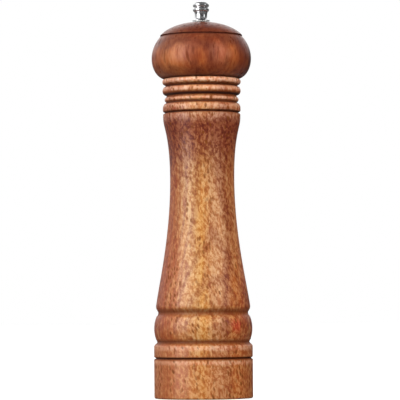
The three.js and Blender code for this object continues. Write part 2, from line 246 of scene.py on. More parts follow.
class Shading:
    # the node tree of a material or a world, with short ways to add and join nodes
    def __init__(self, owner):
        self.owner = owner
        owner.use_nodes = True
        self.tree = owner.node_tree
        self.tree.nodes.clear()

    def add(self, kind, inputs=None, **settings):
        node = self.tree.nodes.new("ShaderNode" + kind)
        for key, value in settings.items():
            setattr(node, key, value)
        for key, value in (inputs or {}).items():
            if isinstance(value, bpy.types.NodeSocket):
                self.tree.links.new(value, node.inputs[key])
            else:
                node.inputs[key].default_value = value
        return node

    def coords(self, stretch):
        # the piece's own coordinates in millimetres, scaled along each axis
        where = self.add("TexCoord").outputs["Object"]
        scale = tuple(share / mm for share in stretch)
        return self.vector("MULTIPLY", where, scale)[0]

    def noise(self, vector, scale=1.0, detail=2.0, roughness=0.5, distortion=0.0):
        node = self.add("TexNoise", {"Vector": vector, "Scale": scale, "Detail": detail,
                                     "Roughness": roughness, "Distortion": distortion})
        return node.outputs["Fac"]

    def remap(self, value, low, high, to=(0.0, 1.0), smooth=True):
        node = self.add("MapRange", {"Value": value, "From Min": low, "From Max": high,
                                     "To Min": to[0], "To Max": to[1]})
        node.interpolation_type = "SMOOTHSTEP" if smooth else "LINEAR"
        return node.outputs["Result"]

    def math(self, operation, a, b=0.0, clamp=False):
        return self.add("Math", {0: a, 1: b}, operation=operation, use_clamp=clamp).outputs[0]

    def plus(self, a, b):
        return self.math("ADD", a, b)

    def times(self, a, b):
        return self.math("MULTIPLY", a, b)

    def mix(self, share, a, b):
        # inputs 6 and 7 and output 2 are the node's colours
        a, b = (c if isinstance(c, bpy.types.NodeSocket) else (*c, 1) for c in (a, b))
        return self.add("Mix", {"Factor": share, 6: a, 7: b}, data_type="RGBA").outputs[2]

    def stored(self, attribute):
        return self.add("Attribute", attribute_name=attribute).outputs["Fac"]

    def vector(self, operation, *inputs):
        return self.add("VectorMath", dict(enumerate(inputs)), operation=operation).outputs

    def ramp(self, value, stops):
        node = self.add("ValToRGB", {"Fac": value})
        line = node.color_ramp
        while len(line.elements) < len(stops):
            line.elements.new(0.5)
        for element, (spot, colour) in zip(line.elements, stops):
            element.position, element.color = spot, (*colour, 1)
        return node.outputs["Color"]

    def bump(self, height, distance):
        return self.add("Bump", {"Height": height, "Distance": distance, "Strength": 1.0}).outputs["Normal"]

    def finish(self, colour, rough, inputs):
        shader = self.add("BsdfPrincipled", {"Base Color": colour, "Roughness": rough, **inputs})
        out = self.add("OutputMaterial")
        self.tree.links.new(shader.outputs[0], out.inputs[0])
        return self.owner


def newMaterial(name):
    return Shading(bpy.data.materials.new(name))


# Wood.

bodyWoodLook = {
    # the plank's layers from left to right: (x, colour); darker towards both sides, they also paint shade at the
    # silhouettes, and the paler ones at -12, -5 and 11 paint the softboxes' sheen
    "layers": [(-31, (0.35, 0.088, 0.028)), (-24, (0.44, 0.12, 0.035)), (-17, (0.49, 0.165, 0.049)),
               (-12, (0.59, 0.295, 0.112)), (-5, (0.6, 0.33, 0.128)), (0, (0.6, 0.3, 0.084)),
               (5, (0.57, 0.275, 0.098)), (11, (0.6, 0.3, 0.13)), (15, (0.37, 0.12, 0.04)),
               (20, (0.56, 0.215, 0.062)), (26, (0.46, 0.135, 0.04)), (31, (0.28, 0.066, 0.022))],
    "layerWaver": 6.0,
    "dull": (0.34, 0.088, 0.028), "pale": (0.78, 0.44, 0.19), "streakShare": 0.45,
    "late": (0.3, 0.08, 0.024), "lateShare": 0.35,
    "pith": (-14.0, 46.0), "ringScale": 0.085, "ringWaver": 5.0,
    # darker red wood between two heights, which also paints shade where the upper body faces down, a tint towards the
    # foot, and a red patch round one point
    "warm": (0.25, 0.052, 0.017), "warmShare": 0.9, "warmHeights": (128.0, 170.0),
    "warmTop": (174.0, 187.0), "warmLeft": 0.2,
    "foot": (0.57, 0.225, 0.066), "footShare": 0.5, "footHeights": (50.0, 22.0),
    "knot": (21.2, -23.0, 46.2), "knotSize": 5.8, "knotColour": (0.5, 0.072, 0.022), "knotShare": 0.85,
    # a fine mottle that darkens or lightens the wood, calmer on the left, then short dark pores
    "mottleScale": 0.54, "mottle": (1.88, 0.92), "mottleSlant": 0.18, "mottleLength": 0.64,
    "calm": 0.45, "fibre": 0.16,
    "pore": (0.2, 0.052, 0.01), "poreShare": 0.9, "poreCell": (2.3, 3.0), "poreSize": 0.3,
    # painted highlights on the crests, and at the sides and at the bottom of a groove a stain that also paints the
    # shade there
    "rubbed": (0.88, 0.51, 0.34), "rubShare": 0.85,
    "stained": (0.21, 0.044, 0.004), "stain": (0.04, 0.007, 0.001),
    "roughness": (0.36, 0.5), "gloss": 0.45, "coat": 0.12, "coatRoughness": 0.2, "bump": 0.00006,
}

crownWoodLook = {
    # the same kinds of values as in bodyWoodLook
    # across x the light layers at 12 and 19 paint the right lamp's highlight, and the darkest ones at both sides,
    # most of all at the right, paint shade at the silhouettes
    "layers": [(-31, (0.26, 0.055, 0.018)), (-23, (0.46, 0.135, 0.038)), (-15, (0.41, 0.115, 0.03)),
               (-9, (0.3, 0.068, 0.018)), (-3, (0.23, 0.045, 0.012)), (1, (0.31, 0.068, 0.014)),
               (5, (0.2, 0.037, 0.01)), (12, (0.4, 0.098, 0.034)), (19, (0.42, 0.105, 0.024)),
               (24, (0.23, 0.044, 0.011)), (31, (0.08, 0.015, 0.006))],
    "layerWaver": 3.0,
    "dull": (0.12, 0.022, 0.007), "pale": (0.5, 0.16, 0.045), "streakShare": 0.42,
    "late": (0.12, 0.022, 0.008), "lateShare": 0.3,
    "pith": (18.0, 60.0), "ringScale": 0.06, "ringWaver": 4.0,
    "warm": (0.105, 0.019, 0.008), "warmShare": 0.8, "warmHeights": (217.0, 230.0),
    "warmTop": (300.0, 310.0), "warmLeft": 1.0,
    # the dark foot colour paints the shade of the crown's underside, which faces down
    "foot": (0.1, 0.018, 0.006), "footShare": 0.4, "footHeights": (213.0, 207.0),
    # a lighter orange patch round one point at the front left
    "knot": (-19.5, -24.5, 216.5), "knotSize": 7.0, "knotColour": (0.56, 0.175, 0.045), "knotShare": 0.5,
    "mottleScale": 0.5, "mottle": (1.16, 0.94), "mottleSlant": 0.0, "mottleLength": 0.28,
    "calm": 1.0, "fibre": 0.07,
    "pore": (0.09, 0.016, 0.005), "poreShare": 0.5, "poreCell": (1.9, 4.2), "poreSize": 0.28,
    # the crests' paler colour below is a painted highlight, and the groove colours are stain that also paints the
    # shade in the grooves
    "rubbed": (0.4, 0.13, 0.05), "rubShare": 0.2,
    "stained": (0.07, 0.012, 0.004), "stain": (0.022, 0.004, 0.001),
    "roughness": (0.32, 0.44), "gloss": 0.32, "coat": 0.08, "coatRoughness": 0.3, "bump": 0.00003,
}

grain = {
    # shared by both woods. A stretch says how fast a pattern changes along x, y and z
    "halfWidth": 32.0, "long": (1, 1, 0.13), "layerStretch": (0.06, 0.06, 0.016),
    "streakScale": 0.16, "dullFrom": (0.5, 0.28), "paleFrom": (0.5, 0.74), "lateFrom": (0.55, 0.98),
    "borderScale": 0.05, "borderWaver": 30.0, "knotScale": 0.35, "knotWaver": 0.8, "knotEdge": (1.4, 0.7),
    "leanScale": 0.08, "lean": 4.0, "mottleFrom": (0.34, 0.57),
    "calmSide": (0.16, 0.44), "calmHeights": (105, 145),
    "fibreStretch": (2.4, 2.4, 0.16), "fibreFrom": (0.32, 0.68),
    "poreEdge": (0.12, -0.08), "poreDriftScale": 0.14, "poreDrift": (0.38, 0.62),
    "stainPower": 5.0, "roughScale": 0.9, "roughFrom": (0.3, 0.7), "dryness": 0.55,
    "turningStretch": (0.02, 0.02, 2.4), "poreDepth": 0.3, "turningDepth": 0.12,
}


def woodAndPaintedLight(s, look, flat, long, across, height):
    # the colour of the plank that the piece was turned from, with painted shade and painted highlights, before its
    # mottle and its pores
    g = named(grain)
    half = g.halfWidth
    # the layers across x carry painted shade at the sides and painted highlights where the lamps shine
    colour = s.ramp(across, [((x + half) / (2 * half), c) for x, c in look.layers])
    # long soft streaks, light and dark
    streak = s.noise(long, g.streakScale, 5.0, 0.62, 0.4)
    share = (0.0, look.streakShare)
    colour = s.mix(s.remap(streak, *g.dullFrom, share), colour, look.dull)
    colour = s.mix(s.remap(streak, *g.paleFrom, share), colour, look.pale)
    # growth rings round a heart that lies outside the turned piece
    toHeart = (-look.pith[0], -look.pith[1], 0)
    shift = s.vector("ADD", long, toHeart)[0]
    rings = s.add("TexWave", {"Vector": shift, "Scale": look.ringScale, "Distortion": look.ringWaver,
                              "Detail": 3.0, "Detail Scale": 0.5, "Detail Roughness": 0.6},
                  wave_type="RINGS", rings_direction="Z", wave_profile="SIN").outputs["Fac"]
    colour = s.mix(s.remap(rings, *g.lateFrom, (0.0, look.lateShare)), colour, look.late)
    # redder wood towards the top, which on the body also paints shade where it faces down, and another colour at the
    # foot, which on the crown paints the shade of its underside, both with a wavering border
    border = s.math("SUBTRACT", s.noise(flat, g.borderScale, 2.0), 0.5)
    uneven = s.plus(height, s.times(border, g.borderWaver))
    warm = s.remap(uneven, *look.warmHeights, (0.0, look.warmShare))
    warm = s.times(warm, s.remap(height, *look.warmTop, (1.0, look.warmLeft)))
    colour = s.mix(warm, colour, look.warm)
    colour = s.mix(s.remap(uneven, *look.footHeights, (0.0, look.footShare)), colour, look.foot)
    # a patch of another colour round one point, with a wavering edge
    away = s.vector("DISTANCE", flat, look.knot)["Value"]
    knotWaver = s.times(s.noise(flat, g.knotScale, 2.0), look.knotSize * g.knotWaver)
    outer, inner = (look.knotSize * share for share in g.knotEdge)
    patch = s.remap(s.plus(away, knotWaver), outer, inner, (0.0, look.knotShare))
    colour = s.mix(patch, colour, look.knotColour)
    # crests are painted paler: a painted highlight
    return s.mix(s.times(s.stored("crestHighlight"), look.rubShare), colour, look.rubbed)


def lacqueredWood(name, look):
    s = newMaterial(name)
    g, look = named(grain), named(look)
    flat, long = s.coords((1, 1, 1)), s.coords(g.long)
    axes = s.add("SeparateXYZ", {0: flat})
    height = axes.outputs["Z"]
    # layers of the plank, wavering along its length
    layerNoise = s.math("SUBTRACT", s.noise(s.coords(g.layerStretch), 1.0, 3.0), 0.5)
    waver = s.times(layerNoise, look.layerWaver * 2)
    across = s.remap(s.plus(axes.outputs["X"], waver), -g.halfWidth, g.halfWidth, smooth=False)
    colour = woodAndPaintedLight(s, look, flat, long, across, height)
    # mottle and pores drift and lean together
    lean = s.add("TexNoise", {"Vector": flat, "Scale": g.leanScale, "Detail": 0.0}).outputs["Color"]
    bent = s.vector("MULTIPLY_ADD", lean, (g.lean,) * 3, flat)[0]
    x, y, z = s.add("SeparateXYZ", {0: bent}).outputs
    sheared = s.plus(x, s.times(z, look.mottleSlant))
    squeezed = s.times(z, look.mottleLength)
    slanted = s.add("CombineXYZ", {0: sheared, 1: y, 2: squeezed}).outputs[0]
    # the mottle raises the colour to a power: above 1 it darkens, below 1 it lightens
    mottle = s.noise(slanted, look.mottleScale, 3.0, 0.65)
    fibre = s.noise(s.coords(g.fibreStretch), 1.0, 2.0, 0.6)
    strength = s.remap(across, *g.calmSide, (look.calm, 1.0))
    strength = s.math("MAXIMUM", strength, s.remap(height, *g.calmHeights))
    depth = s.plus(0.5, s.times(s.math("SUBTRACT", mottle, 0.5), strength))
    tone = s.plus(s.remap(depth, *g.mottleFrom, look.mottle, smooth=False),
                  s.remap(fibre, *g.fibreFrom, (look.fibre, -look.fibre), smooth=False))
    colour = s.add("Gamma", {"Color": colour, "Gamma": tone}).outputs[0]
    # short dark pores, thicker in some places
    wide, tall = look.poreCell
    cells = s.vector("MULTIPLY", slanted, (1 / wide, 1 / wide, 1 / tall))[0]
    spot = s.add("TexVoronoi", {"Vector": cells, "Scale": 1.0, "Randomness": 1.0}).outputs["Distance"]
    drift = s.remap(s.noise(long, g.poreDriftScale, 2.0), *g.poreDrift, (0.1, 1.0))
    outer, inner = (look.poreSize + edge for edge in g.poreEdge)
    pore = s.times(s.remap(spot, outer, inner), drift)
    colour = s.mix(s.times(pore, look.poreShare), colour, look.pore)
    # stain and painted shade darken the turned grooves, where the lacquer is dry
    groove = s.stored("groove")
    colour = s.mix(groove, colour, look.stained)
    colour = s.mix(s.math("POWER", groove, g.stainPower), colour, look.stain)
    rough = s.remap(s.noise(long, g.roughScale, 3.0), *g.roughFrom, look.roughness)
    dry = s.times(s.math("MAXIMUM", groove, pore), g.dryness)
    rough = s.math("ADD", rough, dry, clamp=True)
    # pores are small pits under the lacquer, and the tool leaves faint rings
    turning = s.noise(s.coords(g.turningStretch), 1.0, 1.0)
    relief = s.plus(s.math("SUBTRACT", mottle, s.times(pore, g.poreDepth)),
                    s.times(turning, g.turningDepth))
    return s.finish(colour, rough, {"Normal": s.bump(relief, look.bump), "IOR": 1.5, "Specular IOR Level": look.gloss,
                                    "Coat Weight": look.coat, "Coat Roughness": look.coatRoughness})


def boredWood(name, light, dark):
    # the raw wood inside the drilled holes
    s = newMaterial(name)
    long = s.coords((1, 1, 0.12))
    colour = s.ramp(s.noise(long, 0.35, 4.0, 0.6), [(0.3, dark), (0.7, light)])
    marks = s.noise(s.coords((0.05, 0.05, 1.6)), 1.0, 2.0)
    colour = s.mix(s.remap(marks, 0.55, 0.8, (0.0, 0.3)), colour, dark)
    rough = s.remap(marks, 0.3, 0.7, (0.65, 0.85))
    return s.finish(colour, rough, {"Normal": s.bump(marks, 0.00012), "IOR": 1.45})


materials = {  # lists by slot, and a wood's second material is for its drilled holes
    "body_wood": [lacqueredWood("honeyWood", bodyWoodLook),
                  boredWood("boredHoneyWood", (0.52, 0.3, 0.15), (0.34, 0.16, 0.07))],
    "crown_wood": [lacqueredWood("darkWood", crownWoodLook),
                   boredWood("boredDarkWood", (0.4, 0.2, 0.1), (0.24, 0.1, 0.045))],
}


# Metal, plastic and ceramic.


def metal(name, bright, dull, roughness, scratch, distance, stretch=(1, 1, 1)):
    # roughness is a pair, its least and greatest value; distance is the bump's, in metres
    s = newMaterial(name)
    field = s.coords(stretch)
    patch = s.noise(field, 0.5, 4.0, 0.6)
    colour = s.mix(s.remap(patch, 0.35, 0.7), bright, dull)
    lines = s.noise(field, scratch, 3.0, 0.55)
    rough = s.remap(lines, 0.3, 0.7, roughness)
    return s.finish(colour, rough, {"Metallic": 1.0, "Normal": s.bump(lines, distance)})


def moulded(name, colour, worn, roughness, grain, distance):
    s = newMaterial(name)
    field = s.coords((1, 1, 1))
    tint = s.mix(s.remap(s.noise(field, 0.25, 4.0), 0.35, 0.7), colour, worn)
    texture = s.noise(field, grain, 2.0)
    rough = s.remap(texture, 0.3, 0.7, roughness)
    return s.finish(tint, rough, {"Normal": s.bump(texture, distance), "IOR": 1.5})


materials.update({
    "chrome": [metal("polishedChrome", (0.76, 0.76, 0.77), (0.66, 0.66, 0.67), (0.22, 0.29), 2.0, 0.000002)],
    "zinc_steel": [metal("zincSteel", (0.56, 0.57, 0.59), (0.44, 0.45, 0.46), (0.24, 0.42), 3.0, 0.000006)],
    "screw_steel": [metal("screwSteel", (0.6, 0.6, 0.59), (0.46, 0.46, 0.46), (0.18, 0.34), 5.0, 0.000004)],
    "spring_steel": [metal("springWire", (0.5, 0.5, 0.51), (0.36, 0.36, 0.38), (0.22, 0.4), 4.0, 0.000004)],
    "shaft_aluminium": [metal("drawnAluminium", (0.74, 0.75, 0.77), (0.63, 0.64, 0.66), (0.26, 0.42), 1.0, 0.000008,
                              (2.5, 2.5, 0.06))],
    "ceramic": [moulded("bisqueCeramic", (0.83, 0.8, 0.73), (0.74, 0.7, 0.62), (0.42, 0.62), 4.0, 0.00001)],
    "nylon_washer": [moulded("naturalNylon", (0.72, 0.7, 0.66), (0.64, 0.62, 0.57), (0.4, 0.58), 5.0, 0.00001)],
    "black_nylon": [moulded("blackNylon", (0.022, 0.022, 0.024), (0.035, 0.034, 0.034), (0.38, 0.56), 5.0, 0.00001)],
})


# Body.

body = {
    # radii and heights of the foot, of the cut line above it and of the band above that
    "foot": 31.55, "footEdge": 1.0, "footRows": (8, 16, 21, 22.6, 23.4, 24.0, 24.4),
    "line": 25.65, "lineHalf": 0.75, "lineDepth": 1.35, "lineEdge": 0.12,
    "band": 31.5, "bandTop": 33.4, "bandRows": (26.9, 27.5, 28.5, 30.0, 31.5, 32.5),
    "bandEdge": [(31.1, 34.0), (30.5, 34.7)], "hollow": 29.7,
    # the bead's centre and radius, the cove above it, and the long curves with their handles
    "bead": (10.88, 44.45, 20.5), "beadLow": 36.7, "beadHigh": 52.0,
    "cove": [(29.6, 52.5), (29.0, 53.2), (28.65, 54.6), (29.1, 55.7), (29.5, 56.4), (29.8, 57.0), (30.0, 57.7),
             (30.1, 58.8)],
    "flareHandles": [(28.27, 72.8), (20.55, 103.5)], "waist": (20.55, 140.0),
    "neckHandles": [(20.55, 166.0), (24.22, 172.3)], "shoulder": (24.7, 178.0),
    "shoulderSide": 24.75, "shoulderTop": 180.9,
    # the bore from the foot up
    "recess": 22.0, "recessTop": 12.0, "seat": 16.7, "seatTop": 34.0, "chamber": 15.0, "chamberTop": 188.0,
    "chamberEdge": 0.3, "socket": 17.5, "socketEdge": 0.4, "top": 204.2, "sides": 192,
    # where grooves take stain and painted shade and crests a painted highlight: (height, half width, strength, least
    # radius)
    "grooves": [(25.65, 1.5, 1.0, 28), (35.9, 2.4, 0.85, 28), (54.8, 3.2, 0.75, 28), (182.35, 1.3, 1.0, 20),
                (188.75, 1.4, 1.0, 20), (193.8, 2.3, 1.0, 20), (199.5, 1.3, 1.0, 20), (204.5, 0.7, 0.8, 20)],
    "crestHighlights": [(23.2, 1.5, 0.5, 30), (32.3, 2.0, 0.5, 30), (180.6, 5.0, 0.26, 20), (186.0, 2.2, 0.4, 20),
             (191.0, 1.2, 0.7, 20), (197.2, 1.9, 0.6, 20), (202.6, 1.9, 1.0, 20)],
}


def collarOutline():
    # four turned rings, from the shoulder up
    points = [(24.75, 181.3), (24.3, 181.8), (22.9, 182.35), (24.2, 182.9)]
    lowRing = [(24.2, 182.9), (24.9, 183.5), (24.88, 186.2), (24.1, 187.9), (22.7, 188.7)]
    points += eased(lowRing, 0.5, 3, False)[1:]
    points += arc(22.2, 190.8, 1.5, 1.6, -65, 68, 10)
    points += smoothLine([(22.6, 192.6), (22.35, 193.2), (22.9, 193.8)], 3)[1:]
    points += arc(23.1, 196.5, 1.95, 2.65, -75, 75, 14)
    points += [(22.7, 199.5)]
    points += arc(23.3, 202.35, 1.85, 2.0, -75, 68, 12)
    return points


def bodyOutline():
    b = named(body)
    foot, band, line, half, edge = b.foot, b.band, b.line, b.lineHalf, b.lineEdge
    points = [(b.recess, 0.5), (b.recess + 0.5, 0)]
    points += arc(foot - b.footEdge, b.footEdge, b.footEdge, b.footEdge, -90, 0, 6)
    points += [(foot, z) for z in b.footRows]
    points += [(foot, line - half - edge), (foot - edge, line - half), (foot - b.lineDepth, line),
               (band - edge, line + half), (band, line + half + edge)]
    points += [(band, z) for z in b.bandRows]
    points += smoothLine([(band, b.bandTop)] + b.bandEdge + [
        (b.hollow, 35.3), (b.hollow - 0.25, 36.1), (b.hollow, b.beadLow)], 3)
    x, z, r = b.bead
    low, high = (degrees(asin((height - z) / r)) for height in (b.beadLow, b.beadHigh))
    points += arc(x, z, r, r, low, high, 18)[1:]
    points += smoothLine(b.cove, 3)
    points += bezier(b.cove[-1], *b.flareHandles, b.waist, 40)[1:]
    points += bezier(b.waist, *b.neckHandles, b.shoulder, 24)[1:]
    points += [(b.shoulderSide, 179.5), (b.shoulderSide, b.shoulderTop - 0.1)]
    points += collarOutline()
    points += [(b.socket + b.socketEdge, b.top), (b.socket, b.top - b.socketEdge),
               (b.socket, b.chamberTop), (b.chamber + b.chamberEdge, b.chamberTop),
               (b.chamber, b.chamberTop - b.chamberEdge), (b.chamber, b.seatTop),
               (b.seat, b.seatTop), (b.seat, b.recessTop), (b.recess, b.recessTop)]
    return points


def shadeLevels(mesh, attribute, rows):
    # paints a strength on the mesh by height: rows are (height, half width, strength, least radius)
    store = mesh.attributes.new(attribute, "FLOAT", "POINT")
    values = []
    for vertex in mesh.vertices:
        height, radius = vertex.co.z / mm, hypot(vertex.co.x, vertex.co.y) / mm
        most = 0.0
        for middle, half, strength, least in rows:
            away = abs(height - middle) / half
            if away < 1 and radius > least:
                most = max(most, strength * (1 - away * away))
        values.append(most)
    store.data.foreach_set("value", values)


def splitBore(mesh, rooms):
    # faces inside the drilled holes take the second material: rooms are (radius, low, high)
    for face in mesh.polygons:
        x, y, z = face.center
        if any(hypot(x, y) / mm < radius and low < z / mm < high for radius, low, high in rooms):
            face.material_index = 1


bodyMesh = turnedMesh("body", bodyOutline(), body["sides"])
# grooves take stain and painted shade, and crests a painted highlight
shadeLevels(bodyMesh, "groove", body["grooves"])
shadeLevels(bodyMesh, "crestHighlight", body["crestHighlights"])
place(bodyMesh, "bodyTurned", "mill_body", "body_wood", "body")
splitBore(bodyMesh, [(body["socket"] + 0.1, -1, body["top"] - 0.05),
                     (body["recess"] + 0.1, 0.3, body["recessTop"] + 0.1)])
print("body turned")


# Crown.

crown = {
    "under": 204.3, "equator": 217.3, "radius": 31.87, "lowReach": 9.1, "upperRise": 24.84,
    "line": 231.5, "lineRadius": 26.7, "lineDepth": 0.9,
    "domeCentre": 226.24, "domeReach": 28.76, "domeRise": 14.7, "domeEdge": 26.35,
    "spotRadius": 7.1, "spotHeight": 240.3, "barrel": 5.1, "barrelLow": 237.2, "bore": 4.6,
    "tenon": 17.2, "tenonLow": 191.0, "plateRadius": 15.3, "plateSeat": 192.3, "sides": 192,
}


def crownOutline():
    c = named(crown)
    points = [(c.bore, c.plateSeat), (c.plateRadius, c.plateSeat), (c.plateRadius, c.tenonLow + 0.2),
              (c.plateRadius + 0.3, c.tenonLow), (c.tenon - 0.5, c.tenonLow), (c.tenon, c.tenonLow + 0.5),
              (c.tenon, c.under)]
    points += arc(c.radius - c.lowReach, c.equator, c.lowReach, c.equator - c.under, -90, 0, 28)
    top = degrees(asin((c.line - 0.5 - c.equator) / c.upperRise))
    points += arc(0, c.equator, c.radius, c.upperRise, 0, top, 26)[1:]
    points += [(c.lineRadius - c.lineDepth, c.line + 0.15)]
    first = degrees(acos(c.domeEdge / c.domeReach))
    last = degrees(acos((c.spotRadius + 0.25) / c.domeReach))
    points += arc(0, c.domeCentre, c.domeReach, c.domeRise, first, last, 30)
    points += [(c.spotRadius, c.spotHeight + 0.1), (c.spotRadius, c.spotHeight)]
    points += [(c.barrel, c.spotHeight), (c.barrel, c.barrelLow), (c.bore, c.barrelLow)]
    return points


crownMesh = turnedMesh("crown", crownOutline(), crown["sides"])
# the crown's grooves take stain and painted shade, and two crests a painted highlight
shadeLevels(crownMesh, "groove", [(crown["line"] + 0.1, 0.8, 0.9, 24), (204.3, 1.2, 0.7, 20)])
shadeLevels(crownMesh, "crestHighlight", [(crown["line"] - 1.6, 1.4, 0.6, 24), (239.5, 1.0, 1.0, 7)])
place(crownMesh, "crownTurned", "crown", "crown_wood", "crown")
splitBore(crownMesh, [(crown["tenon"] + 0.1, 0, crown["under"]),
                      (crown["barrel"] + 0.1, 0, crown["spotHeight"] - 0.1)])
print("crown turned")


# Nut, its washer and the ferrule.

nut = {
    "bottom": 241.5, "foot": 5.6, "neck": 3.95, "neckLow": 243.7, "neckHigh": 247.0,
    "beads": [(248.75, 5.2), (251.65, 5.15)],  # height and radius of each crest
    "beadHalf": 1.4, "waist": 4.45, "top": 254.0, "bore": 2.6, "boreTop": 251.6, "sides": 96,
}
ferrule = {"bore": 3.0, "barrel": 5.0, "flange": 6.9, "bottom": 237.3, "seat": 240.35, "top": 240.95, "sides": 96}
nutWasher = {"inner": 2.8, "outer": 5.2, "low": 241.0, "high": 241.45, "sides": 96}


def nutOutline():
    n = named(nut)
    points = [(n.bore + 0.3, n.bottom), (n.foot - 0.15, n.bottom), (n.foot, n.bottom + 0.15)]
    points += bezier((n.foot, n.bottom + 0.4), (n.neck + 0.75, n.bottom + 0.95),
                     (n.neck + 0.1, n.bottom + 1.3), (n.neck, n.neckLow), 10)
    points += bezier((n.neck, n.neckLow), (n.neck - 0.1, 245.0),
                     (n.neck - 0.02, 246.1), (n.neck + 0.3, n.neckHigh), 8)[1:]
    for middle, crest in n.beads:
        points += arc(n.waist - 0.35, middle, crest - n.waist + 0.35, n.beadHalf, -78, 78, 14)
    points += bezier((4.35, 253.15), (3.9, 253.6), (2.2, 253.95), (0, n.top), 10)[1:]
    return points


def nutMesh():
    bore, bottom = nut["bore"], nut["bottom"]
    solid = turnedMesh("nut", [(0, bottom + 0.01)] + nutOutline(), nut["sides"])
    drill = turnedMesh("drill", [(0, bottom - 1), (bore + 0.35, bottom - 1), (bore + 0.3, bottom),
                                 (bore, bottom + 0.35), (bore, nut["boreTop"] - 0.6), (0, nut["boreTop"])], 64)
    return carved(solid, [drill])


def ferruleMesh():
    f = named(ferrule)
    line = [(f.bore, f.bottom), (f.barrel, f.bottom), (f.barrel, f.seat), (f.flange, f.seat),
            (f.flange - 0.45, f.top), (f.bore, f.top)]
    return turnedMesh("ferrule", eased(line, 0.25), f.sides)


def washerMesh(w, ease):
    line = sectionPoints(w["inner"], w["outer"], w["low"], w["high"])
    return turnedMesh("washer", eased(line, ease), w["sides"])


place(nutMesh(), "adjustingNutPolished", "nut", "chrome", "adjusting_nut")
place(ferruleMesh(), "crownFerrulePressed", "crown", "chrome", "crown_ferrule")
place(washerMesh(nutWasher, 0.12), "nutWasherStamped", "nut_washer", "nylon_washer", "nut_washer")
print("nut, washer and ferrule made")


# Screws and shaft.


def threadShape(root, pitch, depth, low, high):
    # a radius by angle and height that winds a ridge round a core, running out at both ends
    def radiusAt(angle, height):
        turn = height / pitch - angle / tau
        ridge = 1 - abs(2 * (turn - floor(turn)) - 1)
        ends = min(1.0, max(0.0, (height - low) / pitch), max(0.0, (high - height) / pitch))
        return root + depth * min(1.0, ridge * 1.25) * ends
    return radiusAt


def levels(low, high, step):
    count = max(1, round((high - low) / step))
    return [low + (high - low) * i / count for i in range(count + 1)]


def crossCutter(top, depth, reach, width):
    # the tapered cross of a screwdriver's tip, pointing up from z = top
    def cross(r, w):
        arm = [(r, -w), (r, w), (w, w)]
        turns = ((1, 0), (0, 1), (-1, 0), (0, -1))
        return [(x * c - y * d, x * d + y * c) for c, d in turns for x, y in arm]
    levelsOfTip = ((top - 0.3, reach * 1.06, width), (top + depth * 0.6, reach * 0.72, width * 0.85),
                   (top + depth, reach * 0.3, width * 0.6))
    return skin("driverTip", [[(x, y, z) for x, y in cross(r, w)] for z, r, w in levelsOfTip], wrap=False)


def screwMesh(screw):
    # a domed head with a cross recess below the seat, and a threaded shank above it
    s = named(screw)
    seat, low = s.seat, s.seat - s.headHeight
    head = [(0, low)] + arc(0, low + s.headHeight * 0.75, s.head, s.headHeight * 0.75, -86, 0, 12)
    head += [(s.head, seat - 0.08), (s.head - 0.08, seat)]
    tip = seat + s.length
    start = tip - s.point
    thread = threadShape(s.root, s.pitch, s.depth, seat + 0.4, start)
    shank = [(s.root, z) for z in levels(seat, start, s.pitch / 8)]
    outline = head + shank + [(s.root * 0.55, start + s.point * 0.55), (0, tip)]
    first, last = len(head), len(head) + len(shank)
    shape = lambda angle, r, z, index: thread(angle, z) if first <= index < last else r
    cutter = crossCutter(low, s.headHeight * 0.8, s.head * 0.55, 0.32 * s.wide)
    return carved(turnedMesh("screw", outline, 40, shape), [cutter])


# root and depth are the thread's, wide scales the cross, circle is the ring of screws they stand on
baseScrew = {"head": 2.4, "headHeight": 1.6, "length": 13.0, "root": 0.85, "depth": 0.4, "pitch": 1.3,
             "point": 2.5, "wide": 1.0, "circle": 18.9, "seat": 8.75}
driveScrew = {"head": 2.2, "headHeight": 1.4, "length": 9.0, "root": 0.75, "depth": 0.35, "pitch": 1.1,
              "point": 2.2, "wide": 0.95, "circle": 11.2, "seat": 190.95}
rotorScrew = {"head": 2.9, "headHeight": 1.7, "length": 9.0, "root": 1.2, "depth": 0.25, "pitch": 0.5,
              "point": 0.6, "wide": 1.3, "seat": 9.3}
screwTurns = (0.3, 1.1, 0.75)  # no two crosses stand alike

for screw, rides, prefix, label in ((baseScrew, "mill_body", "base_screw", "baseScrew"),
                                    (driveScrew, "crown", "drive_plate_screw", "driveScrew")):
    master = screwMesh(screw)
    for i, (x, y) in enumerate(circlePoints(0, 0, screw["circle"], 3)):
        single = moved(master, x, y, 0, screwTurns[i])
        place(single, f"{label}{i + 1}", rides, "screw_steel", f"{prefix}_{i + 1}")
single = moved(screwMesh(rotorScrew), turn=0.5)
place(single, "rotorScrewCross", "spindle", "screw_steel", "rotor_screw")
print("screws made")

shaft = {"side": 6.0, "ease": 0.45, "bottom": 11.3, "shoulder": 234.5, "threadLow": 235.7, "top": 248.8,
         "root": 2.05, "depth": 0.4, "pitch": 0.8, "drill": 1.6, "drillDepth": 10.0, "sides": 160}


def squareRadius(angle, side, ease):
    # distance from the axis to a square with rounded corners
    a = abs((angle + pi / 4) % (pi / 2) - pi / 4)
    half = side / 2
    flat = half / cos(a)
    centre = half - ease
    reach = centre * sqrt(2)
    across = reach * sin(pi / 4 - a)
    if across >= ease:
        return flat
    return min(flat, reach * cos(pi / 4 - a) + sqrt(ease * ease - across * across))


